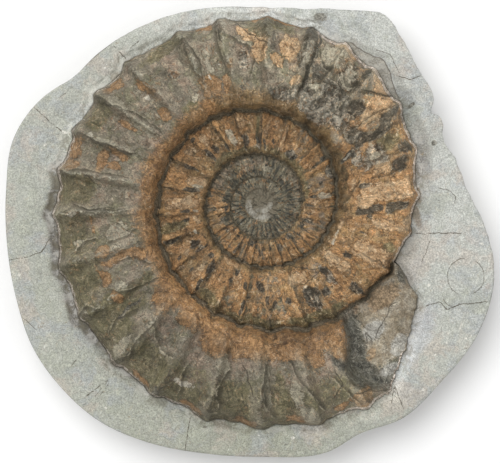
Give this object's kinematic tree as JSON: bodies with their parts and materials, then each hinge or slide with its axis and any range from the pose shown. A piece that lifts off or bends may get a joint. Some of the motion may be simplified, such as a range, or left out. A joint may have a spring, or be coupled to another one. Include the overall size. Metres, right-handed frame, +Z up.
{
  "type": "ammonite fossil in a matrix slab",
  "caption": "Large coiled, ribbed ammonite shell lying in a trimmed slab of pale grey limestone, with a flat base to rest on.",
  "frame": {"origin": "bottom centre of the bounding box, on the slab's flat base", "axes": "+Z up out of the slab towards the shell, +X along the slab's longest side, +Y along its other side, towards the edge that is nearest the shell"},
  "size_m": [0.3918, 0.3616, 0.0695],
  "materials": {
    "fossil_calcite": "dull brown and ochre mineral surface with dark grey patches, slightly glossy on the ribs",
    "grey_limestone": "matt pale grey limestone, scraped smooth on top and rough at the sides"
  },
  "bodies": {
    "root": {"ammonite": "fossil_calcite", "matrix_slab": "grey_limestone"}
  },
  "joints": []
}
